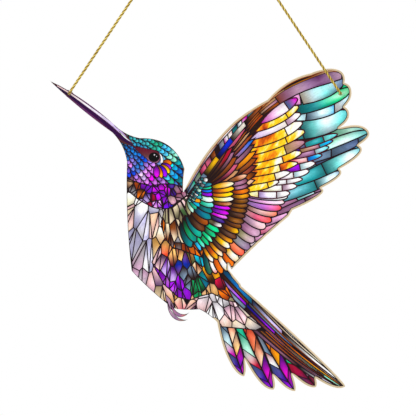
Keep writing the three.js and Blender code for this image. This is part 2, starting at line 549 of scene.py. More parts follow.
class Print:
    """The printed picture: panes of glass held in dark lines, each laid over the ones before it."""

    def __init__(self):
        self.panes = []
        self.windows = {}

    def window(self, name, loop, line=1.0):
        """A closed edge that cuts off the panes which are said to lie within it."""
        self.windows[name] = moved_in(tidy_loop([Vector(p) for p in loop]), line / 2)

    def pane(
        self, points, *shades, axis=None, glow=0.26, shine=0.3, rim=0.45, deep=0.6,
        heat=(0.0, 0.0), line=1.3, lead=LEAD, jitter=0.1, within=None,
    ):
        """A pane of glass, with its shades from one end of its axis to the other, or of its own length."""
        loop = tidy_loop([Vector(p) for p in points])
        if len(loop) < 3:
            return
        middle = sum(loop, Vector((0, 0))) / len(loop)
        if axis is None:
            along = max(loop, key=lambda p: (p - middle).length) - middle
            start, end = middle - along, middle + along
        else:
            start, end = Vector(axis[0]), Vector(axis[1])
        along = (end - start).normalized() if (end - start).length > 1e-6 else Vector((1, 0))
        across = Vector((-along.y, along.x))
        light = 1 + dice.uniform(-jitter, jitter)
        self.panes.append(
            {
                "loop": loop,
                "shades": [tint(s) * light for s in shades],
                "start": start,
                "end": end,
                "along": along,
                "across": across,
                "middle": middle,
                "reach": max(abs((p - middle).dot(along)) for p in loop) + 0.01,
                "width": max(abs((p - middle).dot(across)) for p in loop) + 0.01,
                "glow": glow,
                "shine": (shine, dice.uniform(-0.3, 0.3)),
                "rim": rim,
                "deep": deep,
                "heat": heat,
                "line": line,
                "lead": lead,
                "within": within,
                "shift": dice.uniform(0, 60),
            }
        )

    def bands(self, leaf, cuts, shades, left=0.0, right=1.0, slant=0.0, **finish):
        """Panes across a leaf between its cuts, each with its shades from root to tip."""
        heats = finish.pop("heat", (0.0, 0.0))
        heats = heats if isinstance(heats, list) else [heats] * len(shades)
        for start, end, colours, heat in zip(cuts, cuts[1:], shades, heats):
            middle = (left + right) / 2
            axis = (leaf.at(start, middle), leaf.at(end, middle))
            self.pane(
                leaf.cell(start, end, left, right, slant), *colours.split(),
                axis=axis, heat=heat, **finish,
            )

    def row(self, keys, shades, plump=0.62, blunt=0.7, cuts=None, wobble=0.0, heat=None, **finish):
        """A row of feathers between key ones (root, tip), the last laid over the others."""
        count = len(shades)
        places = []
        for i in range(count):
            place = i / max(count - 1, 1) * (len(keys) - 1)
            k = min(int(place), len(keys) - 2)
            (root_a, tip_a), (root_b, tip_b) = keys[k], keys[k + 1]
            root = Vector(root_a).lerp(Vector(root_b), place - k)
            places.append((root, Vector(tip_a).lerp(Vector(tip_b), place - k)))
        for i, ((root, tip), colours) in enumerate(zip(places, shades)):
            near = places[i - 1][1] if i else places[1][1]
            reach = (tip - root).normalized()
            gap = tip - near
            spread = abs(gap.x * reach.y - gap.y * reach.x)
            half = max(spread * plump, 1.0)
            tip = tip + reach * dice.uniform(-1, 0.6) * wobble
            left, right = (half * dice.uniform(0.85, 1.15) for _ in range(2))
            leaf = feather(root, tip, left, right, blunt)
            if isinstance(colours, list):
                warm = heat[i] if heat else (0.0, 0.0)
                self.bands(leaf, cuts or [0, 0.55, 1], colours, heat=warm, **finish)
            else:
                self.pane(leaf.cell(steps=10), *colours.split(), axis=(root, tip), **finish)

    def shards(self, edge, focus, size, stretch, stations, splits=(0, 1, 1, 2), **finish):
        """Long facets that point away from a focus and fill an edge, coloured by the nearest station."""
        focus = Vector(focus)
        ring = [Vector(p) for p in edge]

        def unrolled(place):
            out = place - focus
            return Vector((math.log(out.length) / stretch, math.atan2(out.y, out.x)))

        def rolled(spot):
            return focus + math.exp(spot.x * stretch) * Vector((math.cos(spot.y), math.sin(spot.y)))

        low = Vector((min(p.x for p in ring) - size, min(p.y for p in ring) - size))
        high = Vector((max(p.x for p in ring) + size, max(p.y for p in ring) + size))
        seeds = []
        for _ in range(5000):
            place = Vector((dice.uniform(low.x, high.x), dice.uniform(low.y, high.y)))
            if (place - focus).length < size:
                continue
            spot = unrolled(place)
            room = size / (place - focus).length
            if all((spot - other).length > room for other in seeds):
                seeds.append(spot)
        for seed in seeds:
            cell = [seed + Vector(corner) for corner in SQUARE]
            for other in seeds:
                if other is not seed and (other - seed).length < 1:
                    cell = cut_back(cell, (seed + other) / 2, other - seed)
            corners = [rolled(spot) for spot in cell]
            middle = sum(corners, Vector((0, 0))) / max(len(corners), 1)
            if not any(inside(p, ring) for p in corners + [middle]):
                continue
            shades = min(stations, key=lambda s: (Vector(s[0]) - middle).length)[1].split()
            away = (middle - focus).normalized() * size
            for piece in self.split(tidy_loop(corners), dice.choice(splits)):
                turned = away if dice.random() < 0.5 else -away
                self.pane(piece, *shades, axis=(middle - turned, middle + turned), **finish)

    def split(self, cell, times):
        """The cell, cut across from corner to corner as many times as said."""
        if times == 0 or len(cell) < 4:
            return [cell]
        count = len(cell)
        pairs = [(i, j) for i in range(count) for j in range(i + 2, count) if j - i < count - 1]
        far = sorted(pairs, key=lambda pair: (cell[pair[0]] - cell[pair[1]]).length)
        i, j = far[-1 - dice.randrange(min(2, len(far)))]
        one, two = cell[i : j + 1], cell[j:] + cell[: i + 1]
        if area_in(one) < area_in(two):
            one, two = two, one
        return self.split(one, times - 1) + [two]

    def colour(self, pane, place):
        shades = pane["shades"]
        if len(shades) == 1:
            base = shades[0].copy()
        else:
            span = pane["end"] - pane["start"]
            t = (place - pane["start"]).dot(span) / max(span.length_squared, 1e-9)
            t = min(max(t, 0.0), 0.9999) * (len(shades) - 1)
            base = shades[int(t)].lerp(shades[int(t) + 1], t - int(t))
        offset = place - pane["middle"]
        forth = offset.dot(pane["along"]) / pane["reach"]
        aside = offset.dot(pane["across"]) / pane["width"]
        edge = min(max(abs(forth), abs(aside)), 1.1)
        shadow = pane["deep"] * min(max(0.5 - 0.5 * forth, 0), 1) ** 1.5
        base = base * (1 - pane["rim"] * edge**3) * (1 - shadow)
        near, side = pane["shine"]
        bright = max(0.0, 1 - math.hypot((forth - near) / SHINE_REACH, (aside - side) / SHINE_REACH))
        lit = pane["glow"] * bright
        base = base * (1 + SHINE_GAIN * lit)
        return Vector([min(c, 1.0) for c in base.lerp(WHITE, min(BLEACH * lit**2.2, 1))])

    def warmth(self, pane, place):
        """How far the flame shading has risen at a place, nought where the pane has none."""
        low, high = pane["heat"]
        forth = (place - pane["middle"]).dot(pane["along"]) / pane["reach"]
        return low + (high - low) * min(max(0.5 + 0.5 * forth, 0), 1)


picture = Print()

# Hind wing

hind_strip = Leaf(
    Track((183.6, 192), (196, 168), (214, 143), (235, 120), (252, 107), (268, 99)),
    Track((191, 197), (205, 176), (222, 152), (240, 132), (254, 116), (266, 103)),
)
picture.bands(
    hind_strip, [0, 0.12, 0.2, 0.28, 0.35, 0.41, 0.46, 0.52, 0.57, 0.62, 0.68, 0.73, 0.79, 1],
    [
        "slate steel jade", "smoke moss", "wine rose", "rose cocoa", "umber copper", "gold amber",
        "slate smoke", "magenta white", "white blush", "teal pine", "steel white", "pink magenta",
        "sea steel lavender",
    ],
    0.36, 1, slant=0.05, line=1.1,
)
picture.bands(
    hind_strip, [0, 0.24, 0.46, 0.68, 1],
    ["steel slate smoke", "heather ash cocoa", "ash pearl steel", "sea steel ash"],
    0.1, 0.36, glow=0.5, line=1.0,
)
picture.bands(
    hind_strip, [0, 0.5, 1], ["orange copper salmon", "copper tan copper"], 0, 0.12, line=0.5, glow=0,
)

MAUVE_FEATHERS = [
    ((222, 256), (244, 256)), ((228, 248), (258, 245)), ((232, 242), (270, 233)),
    ((238, 236), (281, 219)), ((246, 224), (301, 202)),
]
picture.pane(
    [(224, 262), (234, 264), (262, 243), (306, 202), (330, 190), (300, 180), (240, 230)],
    "mauve", "dusk", glow=0, rim=0, deep=0,
)
picture.row(
    MAUVE_FEATHERS,
    [
        "mauve dusk cream", "plum dusk pearl", "mauve dusk white", "wine mauve pink", "plum rose dusk",
        "heather mauve pink", "plum heather mauve",
    ],
    plump=0.72, blunt=0.95,
)
hind_four = feather((249, 223), (323.2, 190), 9.6, 5.8, 1)
hind_three = feather((257, 207), (341.2, 171.5), 12.8, 7.7, 1)
hind_two = feather((273, 191), (361.5, 148.1), 12.8, 9.3, 1)
hind_one = feather((280, 168), (369, 132.4), 15.4, 9.3, 1)
LUSTRE = {"glow": 0.55, "shine": 0.15, "rim": 0.7, "deep": 0.35}
picture.bands(
    hind_four, [0, 0.52, 0.74, 1], ["plum mauve", "aqua ice", "heather mauve"], 0, 0.6, slant=0.05,
)
picture.bands(hind_four, [0, 0.6, 1], ["wine heather", "mauve dusk"], 0.6, 1)
picture.bands(
    hind_three, [0, 0.42, 0.66, 0.84, 1], ["wine plum", "copper rust", "plum wine", "pine steel"],
    0, 0.42, slant=0.06,
)
picture.bands(hind_three, [0, 0.55, 1], ["steel sea", "sea ice steel"], 0.42, 1, **LUSTRE)
picture.bands(hind_two, [0, 0.4, 0.7, 1], ["teal sea", "slate steel", "sea sky"], 0, 0.4, slant=0.05)
picture.bands(hind_two, [0, 0.45, 1], ["teal sea", "sea aqua ice sea"], 0.4, 1, **LUSTRE)
picture.bands(hind_one, [0, 0.5, 1], ["teal jade", "mint seafoam sea"], 0, 0.3)
picture.bands(hind_one, [0, 1], ["sea jade mint seafoam sea"], 0.3, 0.68, **LUSTRE)
picture.bands(
    hind_one, [0, 0.45, 0.72, 1], ["slate steel", "steel slate", "steel sea"], 0.68, 1, slant=0.04,
)

# Tail

# each feather with the bars on the two sides of its shaft, from root to tip
TAIL = [
    (
        feather((231.4, 280.6), (315.9, 386.8), 10.6, 12.3, 0.9),
        ["black umber", "umber cocoa", "cocoa copper", "maroon mauve", "wine maroon", "maroon heather"],
        ["black umber", "umber olive", "moss emerald", "crimson wine", "plum wine", "straw olive"],
    ),
    (
        feather((231.4, 282.2), (295.1, 391), 8.3, 12.5, 0.8),
        [
            "umber copper", "rust orange", "orange amber", "purple magenta", "magenta purple",
            "fuchsia salmon",
        ],
        ["brown smoke", "smoke steel", "crimson white", "slate indigo", "indigo violet", "tan ash"],
    ),
    (
        feather((225, 285.4), (273.6, 389.4), 8, 13.3, 0.9),
        [
            "mauve coral", "coral salmon", "salmon peach", "purple magenta", "magenta purple",
            "magenta salmon",
        ],
        ["moss jade", "jade seafoam", "white crimson", "slate indigo", "indigo violet", "dusk ash"],
    ),
    (
        feather((216, 288.6), (243.9, 376.3), 7.4, 10.7, 0.8),
        [
            "coral salmon", "salmon peach", "peach apricot", "magenta purple", "purple magenta",
            "gold peach",
        ],
        ["smoke steel", "steel ice", "white magenta", "slate indigo", "violet indigo", "fuchsia magenta"],
    ),
]
for leaf, left_bars, right_bars in TAIL:
    picture.pane(leaf.cell(steps=14), "black", glow=0, rim=0, line=0.6)
    picture.bands(
        leaf, [0.1, 0.33, 0.47, 0.6, 0.74, 0.88, 1], left_bars, 0.07, 0.47, slant=0.13, glow=0.28,
        deep=0.7, line=1.0,
    )
    picture.bands(
        leaf, [0.1, 0.36, 0.5, 0.61, 0.75, 0.9, 1], right_bars, 0.5, 0.96, slant=0.13, glow=0.28,
        deep=0.7, line=1.0,
    )

long_tail = Leaf(
    Track((224, 262), (243, 285), (262, 306), (286, 331), (314, 356), (348, 384.5)),
    Track((212, 296), (234, 314), (260, 337), (289, 361), (313, 377.5), (340, 391.5)),
)
picture.pane(long_tail.cell(steps=14), "black", glow=0, rim=0)
STRIPES = [
    (0.0, 0.1, [0, 0.3, 1], ["rust coral", "tan cream cream"]),
    (0.1, 0.27, [0, 0.27, 0.52, 1], ["petrol denim petrol", "slate lavender lilac", "umber white white"]),
    (0.27, 0.37, [0, 0.24, 0.6, 1], ["umber brown", "smoke slate", "black maroon ivory"]),
    (0.37, 0.48, [0, 0.22, 0.46, 1], ["lilac violet", "royal indigo violet", "rust orange amber orange"]),
    (0.48, 0.62, [0, 0.22, 0.55, 1], ["smoke steel", "umber plum heather", "steel aqua mint seafoam"]),
    (0.62, 0.7, [0, 0.15, 1], ["orange amber", "brown orange rust umber"]),
    (0.7, 0.86, [0, 0.3, 0.6, 1], ["umber plum", "umber cocoa maroon", "black heather white"]),
    (0.86, 1.0, [0, 0.35, 0.7, 1], ["amber orange", "mauve umber", "black ash ivory"]),
]
for left, right, cuts, shades in STRIPES:
    picture.bands(long_tail, cuts, shades, left, right, line=1.2, slant=0.04, deep=0.7, rim=0.6)
for share, shade in ((0.25, "amber"), (0.55, "orange"), (0.78, "amber")):
    picture.bands(
        long_tail, [0.28, 0.86], [f"{shade} orange brown"], share - 0.018, share + 0.018,
        line=0.35, glow=0,
    )

# Body

BREAST = [
    (122, 172), (122, 274), (150, 298), (165, 311), (181, 315), (190, 300), (178, 297), (164, 284),
    (156, 270), (152, 262), (158, 249), (165, 238), (161, 224), (165, 208), (155, 203), (142, 194),
    (129, 181),
]
SHOULDER = [
    (161, 204), (178, 202), (190, 194), (196, 214), (202, 236), (210, 250), (202, 257), (190, 253),
    (182, 250), (172, 247), (165, 238), (161, 224), (165, 208),
]
FLANK = [
    (152, 262), (158, 249), (165, 238), (172, 247), (182, 250), (190, 253), (202, 257), (210, 250),
    (215, 264), (221, 276), (227, 287), (235, 302), (226, 300), (212, 293), (200, 296), (190, 300),
    (178, 297), (164, 284), (156, 270),
]
RUMP = [
    (190, 300), (200, 296), (212, 293), (226, 300), (236, 302), (266, 331), (238, 328), (216, 326),
    (200, 315), (181, 315),
]
THROAT = (158, 168)
PALE = {"glow": 0.28, "rim": 0.36, "deep": 0.5, "line": 1.05}
RICH = {"glow": 0.3, "rim": 0.4, "deep": 0.7, "line": 1.1}
BODY_ZONES = [
    (
        "breast", BREAST, THROAT, 8.0, 2.3, PALE,
        [
            ((131, 190), "smoke pearl"), ((130, 206), "lemon ivory"), ((137, 201), "smoke pearl white"),
            ((143, 208), "lavender white"), ((150, 212), "lavender white"), ((157, 214), "ash ivory"),
            ((131, 224), "blush champagne"), ((139, 228), "lavender pearl"),
            ((148, 226), "pearl lavender"), ((132, 242), "lavender smoke"),
            ((141, 242), "champagne ivory"), ((154, 228), "blush peach"), ((156, 240), "apricot ivory"),
            ((150, 248), "apricot cream"), ((131, 256), "tan ash"), ((141, 264), "ash dusk"),
            ((149, 258), "lavender pearl"), ((140, 278), "ash dusk"), ((147, 286), "heather blush"),
            ((158, 294), "sand champagne"), ((168, 303), "apricot blush"), ((178, 306), "rose peach"),
        ],
    ),
    (
        "rump", RUMP, (206, 262), 8.5, 1.5, PALE,
        [
            ((190, 306), "mauve peach"), ((202, 304), "blush ash"), ((214, 307), "ash pearl"),
            ((222, 318), "champagne blush"), ((234, 308), "dusk blush"), ((248, 322), "ash champagne"),
        ],
    ),
    (
        "flank", FLANK, (176, 214), 5.8, 1.9, RICH,
        [
            ((160, 262), "heather blush"), ((164, 250), "apricot coral"), ((170, 254), "plum mauve"),
            ((176, 258), "wine apricot"), ((160, 274), "violet orchid"), ((168, 270), "purple lilac"),
            ((168, 284), "orchid violet"), ((176, 280), "purple violet"), ((180, 292), "violet purple"),
            ((184, 262), "cobalt plum"), ((188, 274), "umber steel"), ((190, 262), "moss copper"),
            ((197, 278), "mauve plum"), ((195, 289), "forest green"), ((199, 262), "teal cyan"),
            ((206, 258), "gold orange"), ((203, 270), "rust sand"), ((210, 274), "umber amber"),
            ((208, 284), "teal petrol"), ((214, 266), "moss emerald"), ((217, 288), "orange rust"),
            ((208, 292), "apricot tan"), ((222, 280), "maroon crimson"), ((228, 292), "rust orange"),
            ((236, 298), "smoke khaki"),
        ],
    ),
    (
        "shoulder", SHOULDER, (166, 176), 4.4, 3.6, RICH,
        [
            ((166, 224), "orange bronze"), ((176, 212), "khaki champagne"), ((168, 209), "blush khaki"),
            ((172, 234), "copper champagne"), ((184, 222), "khaki bronze"), ((180, 242), "brown smoke"),
            ((190, 238), "bronze ash"), ((196, 246), "orange rust"), ((203, 250), "rust orange"),
            ((182, 204), "moss blush"),
        ],
    ),
]
for name, edge, focus, size, stretch, finish, stations in BODY_ZONES:
    picture.pane(edge, "black", glow=0, rim=0)
    picture.window(name, edge)
    picture.shards(edge, focus, size, stretch, stations, within=name, **finish)

# Front wing

front_wing = outline(
    [
        (190, 197, 1), (213, 168, 1), (240, 133, 1), (268, 99.8, 8.3), (330.6, 71.6, 0), (349, 88),
        (345, 110), (312, 138), (298, 156), (284, 172), (272, 192), (256, 208), (244, 226), (236, 246),
        (230, 264), (213, 262), (202, 243),
    ]
)
picture.pane(front_wing, "umber", "black", glow=0, rim=0)

# secondaries, from the lowest up
picture.row(
    [
        ((205, 242), (210, 275)), ((211, 240), (225, 273.5)), ((219, 236), (238.5, 262)),
        ((228, 227), (252, 246)), ((238, 213), (266, 228)), ((243, 203), (280, 211)),
        ((244, 196), (288, 197)),
    ],
    [
        "umber pine forest", "umber brown gold white coral", "black rust orange",
        "umber brown amber white apricot", "brown rust orange", "umber bronze gold ivory apricot",
        "copper salmon coral", "khaki smoke heather", "olive khaki dusk", "plum mauve dusk",
        "mauve dusk blush", "blush rose coral", "copper blush salmon", "lilac orchid coral",
        "orchid pink blush", "orchid lilac white white",
    ],
    plump=0.66, blunt=0.95, wobble=0.8, glow=0.35,
)
# long feathers of the trailing edge
picture.row(
    [
        ((244, 194), (290, 193)), ((248, 184), (303, 179)), ((262, 172), (315, 163)),
        ((280, 160), (329, 147)), ((290, 150), (338, 134)),
    ],
    [
        ["gold lemon", "lilac white", "pearl white"], ["amber yellow", "lemon white", "dusk white"],
        ["yellow ivory", "white pearl", "pearl white"], ["gold white", "dusk white", "ice white"],
        ["amber orange", "plum violet", "ice white"], ["gold white", "crimson blush", "azure sky"],
        ["orange rust", "mauve heather", "ice cyan"], ["umber royal", "tan mauve", "cyan azure"],
        ["brown slate", "sea teal", "aqua sea"],
    ],
    plump=0.66, blunt=0.8, cuts=[0, 0.3, 0.62, 1], slant=0.06, wobble=1.0,
    glow=0.5, deep=0.25, lead=TINT["maroon"] * 0.5,
)
# the three big primaries, lowest first
third = feather((273, 137), (348.7, 111.6), 13.6, 14.4, 1)
second = feather((273, 115.8), (350.4, 87.6), 12.2, 19.2, 1)
first = feather((273, 103), (344.2, 75.8), 14.4, 14.4, 1)
picture.bands(third, [0, 0.3, 1], ["teal sea", "sea aqua ice aqua sea"], 0.28, 1, **LUSTRE)
picture.bands(
    third, [0, 0.36, 0.5, 0.58, 0.7, 0.76, 0.9, 1],
    ["royal indigo", "indigo slate", "maroon", "steel slate", "maroon", "wine maroon", "azure cyan"],
    0, 0.28, slant=0.05, glow=0.15,
)
picture.bands(
    second, [0, 0.32, 0.6, 1], ["sky ice", "steel ice sky", "white cyan"],
    0.7, 1, slant=0.06, glow=0.5,
)
picture.bands(
    second, [0, 0.24, 1], ["pine teal", "teal sea emerald green"], 0.3, 0.72, glow=1.0, shine=0.35,
    rim=0.6, deep=0.3,
)
picture.bands(second, [0, 0.4, 1], ["pine teal", "teal green emerald"], 0, 0.3, glow=0.15)
picture.bands(first, [0, 0.14, 0.3], ["slate pearl", "magenta pink"], 0.42, 1, slant=0.04)
picture.bands(
    first, [0.3, 1], ["cream ice aqua steel slate"], 0.42, 1, glow=0.6, shine=0.1, rim=0.6, deep=0.25,
)

lead_strip = Leaf(
    Track((240, 132), (256, 112), (280, 91.5), (306, 78.5), (331, 70), (342, 72)),
    Track((247, 134), (262, 117), (283, 102), (306, 90.5), (330, 83), (341.5, 79)),
)
LEADING = "copper mauve dusk heather plum heather dusk"
picture.bands(lead_strip, [0.4, 1], [LEADING], glow=0.35, rim=0.35, deep=0.3)
for left, right, shades in (
    (0.15, 0.42, ["brown copper", "copper tan"]), (0.42, 0.7, ["umber copper", "tan mauve"]),
    (0.7, 1.0, ["brown rust", "umber copper"]),
):
    picture.bands(lead_strip, [0, 0.22, 0.4], shades, left, right, glow=0.25, deep=0.4, line=0.8)
picture.bands(
    lead_strip, [0, 0.5, 1], ["orange tan", "amber copper champagne"], 0, 0.15, line=0.6, glow=0,
)

# flame feathers
FLAME = (0.12, 0.75)
picture.row(
    [
        ((240, 192), (280, 181)), ((236, 179), (298, 165)), ((234, 168), (307, 145)),
        ((240, 154), (305, 127)), ((250, 139), (302, 111)), ((260, 124), (298, 98)),
    ],
    [
        ["orange yellow", "lemon white"], ["rust gold", "ivory white"],
        ["orange rust", "crimson white"], ["amber yellow", "yellow gold"], ["orange gold", "tan mauve"],
        ["rust yellow", "orange gold"], ["orange yellow", "ivory white"], ["lilac ivory", "dusk white"],
        ["orange amber", "yellow gold"], ["magenta white", "slate magenta"],
    ],
    plump=0.66, blunt=0.6, cuts=[0, 0.66, 1], slant=0.1, wobble=1.6,
    heat=[
        [FLAME, (0.75, 0.9)], [FLAME, (0, 0)], [FLAME, (0.2, 0.9)], [(0.2, 0.8), (0.4, 0.95)],
        [FLAME, (0, 0)], [(0.3, 0.7), (0.5, 1)], [(0.1, 0.7), (0.9, 1)], [(0, 0), (0, 0)],
        [(0.2, 0.75), (0.6, 0.9)], [(0, 0), (0, 0)],
    ],
    rim=0.2, deep=0.1, lead=TINT["maroon"] * 0.35,
)

# narrow brown feathers of the forearm, in two lengths
picture.row(
    [
        ((210, 191), (256, 180)), ((206, 186), (257, 162)), ((203, 184), (255, 144)),
        ((200, 184), (254, 130)), ((196, 190), (248, 125)),
    ],
    [
        "black bronze peach", "black orange black", "black copper maroon", "black umber copper",
        "black copper amber", "black mauve cocoa", "black copper azure", "black maroon copper",
        "black brown tan", "black umber copper", "black maroon rose",
    ],
    plump=0.85, blunt=0.3, wobble=1.2, deep=0.6, rim=0.5,
)
picture.row(
    [
        ((206, 192), (240, 182)), ((203, 189), (240, 168)), ((201, 187), (236, 152)),
        ((198, 188), (230, 143)),
    ],
    [
        "black copper salmon", "black maroon mauve", "black copper tan", "black maroon rose",
        "black brown copper", "black umber mauve", "black umber crimson", "black umber copper",
    ],
    plump=0.85, blunt=0.3, wobble=1.0, deep=0.6, rim=0.5,
)
front_lead = Leaf(
    Track((188, 194), (201, 176), (218, 153), (238, 128), (262, 103)),
    Track((192.5, 196), (206, 178), (222, 156), (241, 132), (262, 107)),
)
picture.bands(
    front_lead, [0, 0.22, 0.4, 0.6, 0.78, 1],
    ["black steel", "black gold", "black royal", "umber ivory", "black copper"],
    line=0.8,
)

# ring of bronze feathers
picture.row(
    [
        ((200, 238), (213, 262)), ((206, 232), (227, 253)), ((214, 224), (236, 238)),
        ((220, 214), (244, 222)), ((226, 204), (249, 206)), ((228, 192), (250, 190)),
        ((226, 182), (247, 175)),
    ],
    [
        "black umber amber white", "black umber rust gold", "black brown amber ivory",
        "black umber brown", "black umber gold white", "black umber bronze amber", "black umber brown",
        "black umber bronze gold", "black umber brown bronze", "black umber bronze umber",
        "black umber brown", "black brown bronze umber", "umber brown bronze umber",
        "black umber bronze umber", "umber bronze amber brown", "brown rust orange bronze",
        "maroon mauve maroon", "dusk mauve maroon", "tan copper peach",
    ],
    plump=0.62, blunt=0.85, wobble=1.0, glow=0.35, deep=0.75,
)
# coverts: green below, violet, then gold at the top
picture.row(
    [
        ((188, 224), (201, 251)), ((195, 222), (213, 243)), ((200, 214), (223, 227)),
        ((204, 206), (230, 214)), ((206, 198), (234, 199)), ((208, 188), (235, 183)),
    ],
    [
        "pine teal sky", "pine green emerald aqua", "black forest green emerald",
        "pine green emerald mint", "black forest emerald", "forest green emerald emerald",
        "black olive umber white", "black night indigo", "indigo fuchsia orchid",
        "black purple fuchsia", "purple violet fuchsia", "black umber copper tan",
        "olive yellow lemon ivory", "rust orange gold yellow", "umber rust amber gold",
        "brown gold apricot cream",
    ],
    plump=0.6, blunt=0.8, wobble=0.9, glow=0.35, deep=0.75,
)
# small feathers of the shoulder
picture.row(
    [
        ((180, 222), (191, 247)), ((186, 214), (203, 235)), ((190, 204), (211, 220)),
        ((192, 196), (214, 205)), ((197, 189), (213, 192)), ((198, 186), (212, 184)),
    ],
    [
        "black pine teal", "black green teal", "pine teal jade", "black umber brown",
        "umber brown copper", "night petrol teal", "black pine teal", "pine jade aqua",
        "moss seafoam white", "purple violet", "royal azure", "pine jade emerald", "night petrol sea",
    ],
    plump=0.66, blunt=0.7, wobble=0.9, deep=0.65,
)
picture.row(
    [
        ((186, 200), (190, 216)), ((188, 196), (199, 208)), ((190, 192), (203, 197)),
        ((192, 189), (202, 185)),
    ],
    [
        "olive khaki", "moss seafoam", "pine jade", "petrol cyan", "tan amber", "petrol sea",
        "pine jade", "night teal", "pine sea",
    ],
    plump=0.62, blunt=0.5, wobble=0.8, line=0.9, deep=0.5,
)
# two lines of bead-sized feathers where the wing leaves the neck
for shift, shades in (
    (0.0, "aqua teal seafoam petrol white sea"), (3.2, "petrol seafoam teal smoke sea white"),
):
    picture.row(
        [
            ((187 + shift, 199), (191 + shift, 202)), ((191 + shift, 192), (195.5 + shift, 195)),
            ((200 + shift, 178), (204.5 + shift, 181)),
        ],
        [f"black {shade}" for shade in shades.split() * 2],
        plump=0.7, blunt=0.6, line=0.7, deep=0.2,
    )

# Head

HEAD_STATIONS = [
    ((122, 132), "jade"), ((135, 138), "sea"), ((146, 141), "sea"), ((156, 144), "jade"),
    ((166, 149), "sky"), ((173, 156), "mint"), ((180, 161), "teal"), ((170, 166), "cyan"),
    ((177, 172), "azure"), ((182, 180), "teal"), ((185, 170), "indigo"), ((179, 187), "azure"),
    ((170, 180), "jade"), ((168, 174), "sky"), ((121, 142), "petrol"), ((128, 148), "denim"),
    ((136, 152), "denim"), ((144, 157), "cobalt"), ((126, 158), "denim"), ((129, 165), "orchid"),
    ((135, 167), "denim"), ((131, 173), "cobalt"), ((141, 164), "denim"), ((148, 168), "orchid"),
    ((151, 177), "fuchsia"), ((157, 182), "orchid"), ((143, 176), "lilac"), ((137, 181), "orchid"),
    ((129, 179), "brown"), ((134, 188), "rust"), ((142, 193), "rust"), ((147, 199), "indigo"),
    ((150, 190), "violet"), ((157, 195), "violet"), ((163, 189), "fuchsia"), ((170, 189), "violet"),
    ((166, 200), "indigo"), ((176, 196), "dusk"), ((155, 204), "crimson"), ((160, 174), "indigo"),
]


def blended(place, stations):
    """A colour for a place, from the stations near it."""
    total, weight = Vector((0, 0, 0)), 0.0
    for spot, shade in stations:
        near = 1 / ((Vector(spot) - place).length_squared + 4) ** 2
        total += tint(shade) * near
        weight += near
    return total / weight


BILL_ROOT = Vector((112, 126))
HEAD_EDGE = outline(
    [
        (114, 124, 2), (140, 131, 6), (177, 148, 5), (188, 172, 1), (185, 197), (172, 208), (158, 208),
        (146, 201), (124, 186), (118, 150),
    ]
)
picture.pane(HEAD_EDGE, "pine", "aubergine", axis=((120, 130), (150, 190)), glow=0, rim=0)
picture.window("head", HEAD_EDGE, line=0.4)


def disc(x, y, across, up, count):
    angles = [2 * math.pi * k / count for k in range(count)]
    return [Vector((x + across * math.cos(a), y + up * math.sin(a))) for a in angles]


def scale_feather(root, reach, width):
    side = Vector((-reach.y, reach.x)).normalized() * width / 2
    shape = ((0, 0.75), (0.45, 1), (0.8, 0.72), (1, 0), (0.8, -0.72), (0.45, -1), (0, -0.75))
    return [root + reach * along + side * across for along, across in shape]


NEAREST_RING, FARTHEST_RING = 6.0, 88
FIRST_SCALE = math.radians(-32)
SPREAD = math.radians(150)

rings = []
distance = NEAREST_RING
while distance < FARTHEST_RING:
    depth = 2.2 + distance * 0.042
    width = 2.4 + distance * 0.046
    count = int(SPREAD * distance / width)
    ring = []
    for i in range(count):
        angle = FIRST_SCALE + SPREAD * (i + 0.5 * (len(rings) % 2)) / count
        out = Vector((math.cos(angle), math.sin(angle)))
        ring.append((BILL_ROOT + out * distance, out * depth * 1.8, width * 1.06))
    rings.append(ring)
    distance += depth
for ring in reversed(rings):
    for root, reach, width in ring:
        if inside(root + reach * 0.5, HEAD_EDGE):
            shade = blended(root + reach * 0.5, HEAD_STATIONS)
            picture.pane(
                scale_feather(root, reach, width),
                shade * dice.uniform(0.12, 0.34),
                shade * dice.uniform(1.0, 1.65),
                axis=(root, root + reach), within="head",
                glow=0.3, rim=0.2, deep=0.2, line=0.7, jitter=0.2,
            )

# facets of the collar
COLLAR_EDGE = [
    (124, 177), (120, 188), (131, 193), (138, 199), (145, 203), (152, 207), (161, 209), (170, 208),
    (178, 202), (187, 195), (183, 187), (173, 184), (162, 184), (150, 186), (136, 182),
]
COLLAR_STATIONS = [
    ((130, 183), "cocoa tan"), ((131, 190), "umber smoke"), ((138, 188), "rust brown"),
    ((139, 195), "umber orange"), ((146, 200), "indigo lilac"), ((147, 190), "violet indigo"),
    ((151, 203), "crimson wine"), ((155, 187), "violet fuchsia"), ((158, 195), "fuchsia violet"),
    ((158, 204), "violet pink"), ((166, 187), "purple fuchsia"), ((166, 204), "violet royal"),
    ((164, 195), "purple violet"), ((173, 188), "aubergine indigo"), ((174, 200), "blush mauve"),
    ((180, 193), "dusk wine"),
]
picture.pane(COLLAR_EDGE, "black", glow=0, rim=0)
picture.window("collar", COLLAR_EDGE)
picture.shards(
    COLLAR_EDGE, (152, 156), 4.8, 1.35, COLLAR_STATIONS,
    within="collar", glow=0.3, deep=0.75, rim=0.5, line=1.15,
)

